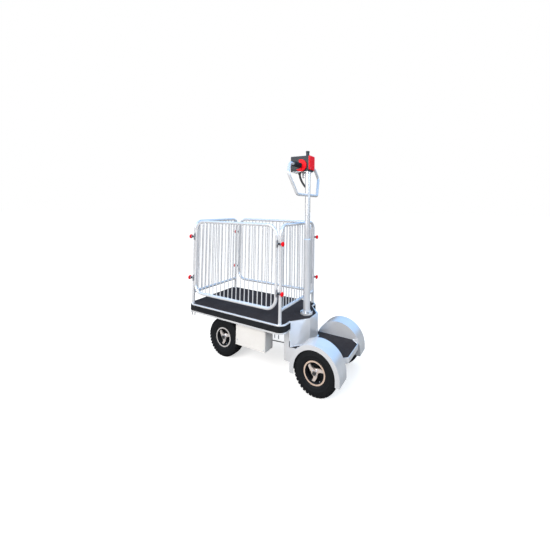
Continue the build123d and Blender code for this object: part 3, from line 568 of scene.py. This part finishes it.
def tyre(name, body, x, side, track):
    """Carcass with moulded rings and a tread of shoulder and centre lugs."""
    shape = Shape()
    turn = facing((x, side * track, WHEEL_R), (0, side, 0))
    section = SIDEWALL + [(r, -w) for r, w in reversed(SIDEWALL[:-1])]
    shape.lathe(section, turn, 96, closed=True)
    for n in range(LUGS):
        for half in (-1, 1):
            middle = (n + LUG_PHASES[half]) * LUG_STEP
            shoulder_lug(shape, turn, half, middle)
            centre_lug(shape, turn, half, middle)
    shape.piece(name, body, "tyre_rubber", (body.replace("wheel", "tyre"),), crease=30)


# Where a rim's polished faces start and end, in metres: depth from its middle, and radii
SPOKE_FACE = (0.019, 0.0196)
SPOKE_END = (0.0628, 0.0634)
LIP_START = (0.0715, 0.0718)
# Colours of spokes and lip, by the wheel's place along the cart: the alloy's tone with a painted
# warm reflection, stronger on the rear wheels
RIM_ALLOY_AND_REFLECTION = {0: ((0.93, 0.8, 0.72), (0.97, 0.73, 0.58)),
              WHEELBASE: ((0.86, 0.79, 0.75), (0.82, 0.78, 0.76))}


def rim_finish(name, x, side, track):
    """Polished outer faces over a black barrel, told apart by the distance from the middle, in a
    warm tint that is a painted reflection.
    """
    made, n, shader = principled(name, (0.92, 0.76, 0.65), 0.16, 1.0)
    px, py, pz = n.split(n.place())
    depth = n.math("MULTIPLY", py, float(side))
    outside = n.ramp(depth, *(track / 1000 + d for d in SPOKE_FACE))
    dx = n.math("SUBTRACT", px, at(x, 0, 0).x)
    dz = n.math("SUBTRACT", pz, WHEEL_R / 1000)
    square = n.math("ADD", n.math("MULTIPLY", dx, dx), n.math("MULTIPLY", dz, dz))
    radius = n.math("SQRT", square)
    lip = n.ramp(radius, *LIP_START)
    spokes = n.math("SUBTRACT", 1.0, n.ramp(radius, *SPOKE_END))
    bright = n.math("MAXIMUM", n.math("MULTIPLY", outside, spokes), lip)
    grooves = n.math("SINE", n.math("MULTIPLY", radius, 9000.0))
    marks = n.noise(300, 4, 0.7)
    # Spokes and lip take a warm tint that is a painted reflection of the surroundings, stronger on
    # the rear wheels.
    alloy_and_reflection = n.mix(lip, *RIM_ALLOY_AND_REFLECTION[x])
    n.join(n.mix(bright, (0.01, 0.01, 0.011), alloy_and_reflection), shader.inputs["Base Color"])
    n.join(n.math("MULTIPLY", bright, 0.6), shader.inputs["Metallic"])
    rough = n.math("ADD", n.math("MULTIPLY_ADD", marks, 0.1, 0.12), 0.3)
    n.join(n.math("MULTIPLY_ADD", bright, -0.3, rough), shader.inputs["Roughness"])
    n.join(n.bump(n.math("ADD", grooves, marks), 0.00001, 0.35), shader.inputs["Normal"])
    return made


HUB_BOLT_R = 17.5
VALVE_R = 68
VALVE_DEPTH = 26
VALVE_LEAN = 0.35
VALVE = [(TIP, 0), (4.2, 0), (3.6, 8), (2.6, 10), (2.6, 17), (3.1, 18), (3.1, 24), (TIP, 25)]
DISH_DEPTH = -17
DISH_SCREW_R = 42
DISH_SCREW_DEPTH = -13
DISH = [(12, -3), (30, -3), (34, 1), (50, 1), (54, -2), (63, -2), (63, 1), (55, 1.5), (51, 4),
        (33, 4), (29, 0), (12, 0)]


def wheel_details(name, body, x, side, track):
    """Four bolts round the hub, and the valve."""
    shape = Shape()
    for n in range(4):
        place = round_axle(x, side * (track + HUB_FACE), HUB_BOLT_R, 45 + 90 * n)
        shape.bolt(place, (0, side, 0), 3.6, 3.0)
    angle = 270 - 45 * side
    a = math.radians(angle)
    foot = round_axle(x, side * (track + VALVE_DEPTH), VALVE_R, angle)
    tip = (-math.cos(a) * VALVE_LEAN, side, -math.sin(a) * VALVE_LEAN)
    shape.lathe(VALVE, facing(foot, tip), 12)
    shape.piece(name, body, "zinc")


def brake_dish(name, body, x, side, track):
    """Pressed black dish that closes the barrel behind the spokes."""
    shape = Shape()
    middle = (x, side * (track + DISH_DEPTH), WHEEL_R)
    shape.lathe(DISH, facing(middle, (0, side, 0)), 48, True)
    for n in range(6):
        place = round_axle(x, side * (track + DISH_SCREW_DEPTH), DISH_SCREW_R, 30 + 60 * n)
        shape.screw(place, (0, side, 0), 3.2, 1.8)
    shape.piece(name, body, "latch_black")


def wheels():
    """All four wheels."""
    for end, x, track in (("rear", 0, REAR_TRACK_HALF), ("front", WHEELBASE, FRONT_TRACK_HALF)):
        for name, side in SIDES:
            label = f"{end}_{name}"
            body = "wheel_" + label
            tyre("tread_tyre_" + label, body, x, side, track)
            give_finish("rim_" + label, rim_finish("rim_alloy_" + label, x, side, track))
            wheel_details("wheel_fittings_" + label, body, x, side, track)
            brake_dish("brake_dish_" + label, body, x, side, track)


def grips():
    """Ribbed rubber sleeves with end flanges."""
    shape = Shape()
    profile = [(12.0, 0), (21.5, 0), (22.5, 1.5), (22.5, 5), (21, 6.5)]
    first_rib, pitch, last_rib = 8.0, 4.4, 90
    z = first_rib
    while z < last_rib:
        profile += [(19.3, z), (20.6, z + 0.8), (20.6, z + 2.6), (19.3, z + 3.4)]
        z += pitch
    profile += [(20.4, 94), (20.8, 98.5), (18, 100), (12.0, 100)]
    for _, side in SIDES:
        shape.lathe(profile, facing((GRIP_X, side * GRIP_IN, GRIP_Z), (0, side, 0)), 40)
    shape.piece("ribbed_grips", "mast", "grip_rubber", ("grips",))


# Hose: where it starts and ends in the drawing, and its section in metres
HOSE_START = (281, 12, BRACKET_LOW)
HOSE_DROP = 70
HOSE_END = (219, 0, HEAD_LOW - 139)
HOSE_R = 0.0095
HOSE_GROOVE = 0.0014
HOSE_PITCH = 0.0044
HOSE_RING = 0.0011
HOSE_SIDES = 20
GLAND = [(9.6, 0), (14, 0), (14, 7), (12.8, 8), (12, 16), (10.2, 20), (9.6, 20)]


def smooth_line(route):
    """Points along the smooth line that a route in metres controls."""
    curve = bpy.data.curves.new("conduit_line", "CURVE")
    curve.dimensions = "3D"
    curve.resolution_u = 24
    spline = curve.splines.new("NURBS")
    spline.points.add(len(route) - 1)
    for point, place in zip(spline.points, route):
        point.co = (*place, 1)
    spline.order_u = 3
    spline.use_endpoint_u = True
    line = bpy.data.objects.new("conduit_line", curve)
    bpy.context.collection.objects.link(line)
    bpy.context.view_layer.update()
    mesh = bpy.data.meshes.new_from_object(line)
    path = [v.co.copy() for v in mesh.vertices]
    bpy.data.objects.remove(line)
    return path


def conduit():
    """Corrugated hose from the box's underside into the mast, along one smooth line."""
    x, y, z = HOSE_START
    route = [at(x, y, z), at(x, y, z - HOSE_DROP), at(*HOSE_END)]
    path = smooth_line(route)
    lengths = [0.0]
    for a, b in zip(path, path[1:]):
        lengths.append(lengths[-1] + (b - a).length)
    total = lengths[-1]
    verts = []
    rings = int(total / HOSE_RING)
    for n in range(rings + 1):
        d = total * n / rings
        k = max(i for i in range(len(path) - 1) if lengths[i] <= d + 1e-9)
        share = (d - lengths[k]) / (lengths[k + 1] - lengths[k])
        point = path[k].lerp(path[k + 1], share)
        ahead = (path[min(k + 2, len(path) - 1)] - path[max(k - 1, 0)]).normalized()
        r = HOSE_R - HOSE_GROOVE * (0.5 - 0.5 * math.cos(2 * math.pi * d / HOSE_PITCH))
        across = ahead.cross(Vector((0, 1, 0))).normalized()
        up = across.cross(ahead)
        for m in range(HOSE_SIDES):
            a = 2 * math.pi * m / HOSE_SIDES
            p = point + r * (math.cos(a) * across + math.sin(a) * up)
            verts.append((p.x * 1000 + MIDDLE_X, p.y * 1000, p.z * 1000))
    shape = Shape()
    shape.rings(verts, HOSE_SIDES)
    hose = shape.piece("corrugated_conduit", "mast", "box_black", ("conduit",), crease=80)
    gland = Shape()
    gland.lathe(GLAND, facing(HOSE_START, (0, 0, -1)), 24)
    gland.piece("conduit_gland", "mast", "box_black")


def head_screws():
    """Screws in the red cap's face and in the bracket's underside."""
    shape = Shape()
    half_y = 36
    for y in (-half_y, half_y):
        for z in (HEAD_LOW + 24, HEAD_TOP - 12):
            shape.screw((CAP_FACE, y, z), (-1, 0, 0), 3.4, 1.6)
        for x in (MAST_X + 8, MAST_X + 128):
            shape.screw((x, y, BRACKET_LOW), (0, 0, -1), 4.2, 2.6)
    shape.piece("head_screws", "mast", "zinc")


def head_trim():
    """Two ridges along each side of the box, collars round the grip tube and a round plug."""
    shape = Shape()
    ridge = 2.4
    x0, x1 = HEAD_REAR + 3, HEAD_FRONT - 6
    for _, side in SIDES:
        y = side * HEAD_HALF
        upright = Matrix(((1, 0, 0, 0), (0, 0, side, y), (0, 1, 0, 0), (0, 0, 0, 1)))
        for z0 in (HEAD_LOW + 18, HEAD_TOP - 12):
            z1 = z0 + ridge
            shape.prism([(x0, z0), (x1, z0), (x1, z1), (x0, z1)], -0.5, 1.0, upright, 0.5)
        collar = [(11.6, 0), (24, 0), (24, 3), (19, 6), (17, 22.5), (11.6, 22.5)]
        shape.lathe(collar, facing((GRIP_X, y, GRIP_Z), (0, side, 0)), 32)
    plug = [(TIP, 1.4), (10, 1.4), (11.5, 0.9), (14.5, 0.9), (15.5, 0), (15.5, -1)]
    shape.lathe(plug, facing((MAST_X + 70, 0, HEAD_TOP), (0, 0, 1)), 32)
    shape.piece("head_trim", "mast", "box_black")


def key_bow():
    """The key's round bow and neck, and the ring round its switch."""
    shape = Shape()
    bow = [(3, -3.0), (10, -3.0), (11, 0), (10, 1.2), (3, 1.2)]
    shape.lathe(bow, facing((KEY_X, KEY_Y - 1.2, HEAD_LOW - 40), (0, 1, 0)), 24, True)
    neck = [(-4, -1.2), (4, -1.2), (4, 1.2), (-4, 1.2)]
    shape.prism(neck, 0, 7, facing((KEY_X, KEY_Y, HEAD_LOW - 32), (0, 0, -1)), 0.4)
    ring = [(9.2, 0), (10.6, 0), (10.6, 2.4), (9.2, 2.4)]
    shape.lathe(ring, facing((KEY_X, KEY_Y, HEAD_LOW - 6.4), (0, 0, 1)), 24, True)
    shape.piece("key_bow", "mast", "zinc")


# Bead thickness and number of ripples of a weld round a bar
BAR_WELD = (BAR_R, 1.3, 7)


def gate_welds():
    """A bead at both ends of each gate's bars, which are shorter in the bends."""
    middle = (GATE_REAR_X + GATE_FRONT_X) / 2
    straight = (GATE_FRONT_X - GATE_REAR_X) / 2 - GATE_BEND
    for name, side in SIDES:
        beads = Shape()
        for n in range(GATE_BARS):
            x = GATE_REAR_X + (n + 1) * (GATE_FRONT_X - GATE_REAR_X) / (GATE_BARS + 1)
            corner = max(0.0, abs(x - middle) - straight)
            drop = GATE_BEND - math.sqrt(max(0.0, GATE_BEND ** 2 - corner ** 2))
            for z in (CAGE_RAIL_Z + drop + TUBE_R, CAGE_TOP - drop - TUBE_R):
                beads.weld((x, side * GATE_Y, z), (0, 0, 1), *BAR_WELD)
        beads.piece("gate_welds_" + name, "gate_" + name, "frame_paint", crease=60)


def cage_welds():
    """Beads on the bars, legs, rails and latch barrels of the two fixed ends."""
    beads = Shape()
    for x in (LEG_REAR_X, LEG_FRONT_X):
        for n in range(END_BARS):
            y = (n - (END_BARS - 1) / 2) * 2 * LEG_Y / (END_BARS + 1)
            for z in (CAGE_RAIL_Z + TUBE_R, CAGE_TOP - TUBE_R):
                beads.weld((x, y, z), (0, 0, 1), *BAR_WELD)
        for _, side in SIDES:
            beads.weld((x, side * LEG_Y, DECK_TOP), (0, 0, 1), TUBE_R, 2.2, 18)
            beads.weld((x, side * (LEG_Y - TUBE_R), CAGE_RAIL_Z), (0, 1, 0), TUBE_R, 1.8, 18)
            for z in LATCH_ZS:
                for dx in (-BARREL_HALF, BARREL_HALF):
                    beads.weld((x + dx, side * LATCH_Y, z), (1, 0, 0), BARREL_R, 1.2, 12)
    beads.piece("cage_welds", "chassis", "frame_paint", crease=60)


def mast_welds():
    """Beads where the handle loop crosses the mast, and at the mast's foot."""
    beads = Shape()
    for _, side in SIDES:
        beads.weld((MAST_X, side * (UPPER_TUBE_R - 0.5), LOOP_LOW_Z), (0, 1, 0), LOOP_R, 2.0, 16)
    beads.weld((MAST_X, 0, MAST_FOOT), (0, 0, 1), LOWER_TUBE_R, 1.6, 30)
    beads.piece("mast_welds", "mast", "frame_paint", crease=60)


def chassis_bolts():
    """Black bolts on the mast's flange, and zinc ones inside the fenders."""
    bolts = Shape()
    circle = 42
    for degrees in (45, 135, 225, 315):
        a = math.radians(degrees)
        place = (MAST_X + circle * math.cos(a), circle * math.sin(a), FLANGE_TOP)
        bolts.bolt(place, (0, 0, 1), 5.2, 4.5)
    bolts.piece("flange_bolts", "chassis", "latch_black")
    bolts = Shape()
    row_z = 222
    for _, side in SIDES:
        for x in (-60, 0, 60):
            bolts.bolt((x, side * PLATFORM_HALF, row_z), (0, -side, 0), 5.5, 4.5)
    bolts.piece("fender_bolts", "chassis", "zinc")


def battery_fittings():
    """Four small screws and a larger one on each battery box's lid."""
    shape = Shape()
    corner_xs, corner_zs = (440, 708), (196, 340)
    large_x, large_z = 702, 222
    for _, side in SIDES:
        y = side * LID_FACE
        for x in corner_xs:
            for z in corner_zs:
                shape.screw((x, y, z), (0, side, 0), 3.4, 1.8)
        shape.screw((large_x, y, large_z), (0, side, 0), 5.5, 2.6)
    shape.piece("battery_screws", "chassis", "zinc")


def drive_fittings():
    """Cooling ribs and end cover of the motor, and bolts round the gear housing."""
    ribs = Shape()
    across = Matrix(((0, 0, 1, 0), (1, 0, 0, 0), (0, 1, 0, 0), (0, 0, 0, 1)))
    rib = [(-63, 107), (63, 107), (63, 221), (-63, 221)]
    count, pitch, half_sheet = 10, 10, 1.5
    for n in range(count):
        x = MOTOR_REAR + pitch * (n + 1)
        ribs.prism(rib, x - half_sheet, x + half_sheet, across, 0.5)
    cover = [(TIP, 0), (47, 0), (47, 3), (44, 5), (22, 5), (20, 7), (TIP, 7)]
    ribs.lathe(cover, facing((MOTOR_FRONT, 0, WHEEL_R), (1, 0, 0)), 40)
    ribs.piece("motor_ribs", "chassis", "motor_paint")
    bolts = Shape()
    cover_circle, gear_circle = 36, 31
    cover_face = MOTOR_FRONT + 4.5
    for n in range(4):
        a = math.radians(45 + 90 * n)
        place = (cover_face, cover_circle * math.cos(a), WHEEL_R + cover_circle * math.sin(a))
        bolts.bolt(place, (1, 0, 0), 4.0, 3.5)
    for _, side in SIDES:
        for n in range(6):
            place = round_axle(0, side * GEAR_HALF, gear_circle, 60 * n + 15)
            bolts.bolt(place, (0, side, 0), 4.0, 3.5)
    bolts.piece("drive_bolts", "chassis", "zinc")


make_camera()
make_world()
lamp("key", (0.4, 4.4, 2.7), (0, 0, 0.6), 3.6, 200, (1.0, 0.975, 0.945))
lamp("fill", (-4.0, 0.5, 2.6), (0, 0, 0.7), 3.0, 64, (0.7, 0.85, 1.0))
make_floor()
FINISH = make_materials()
dress_nodes()
wheels()
grips()
conduit()
head_screws()
head_trim()
key_bow()
gate_welds()
cage_welds()
mast_welds()
chassis_bolts()
battery_fittings()
drive_fittings()
bpy.context.scene.view_settings.view_transform = "Standard"
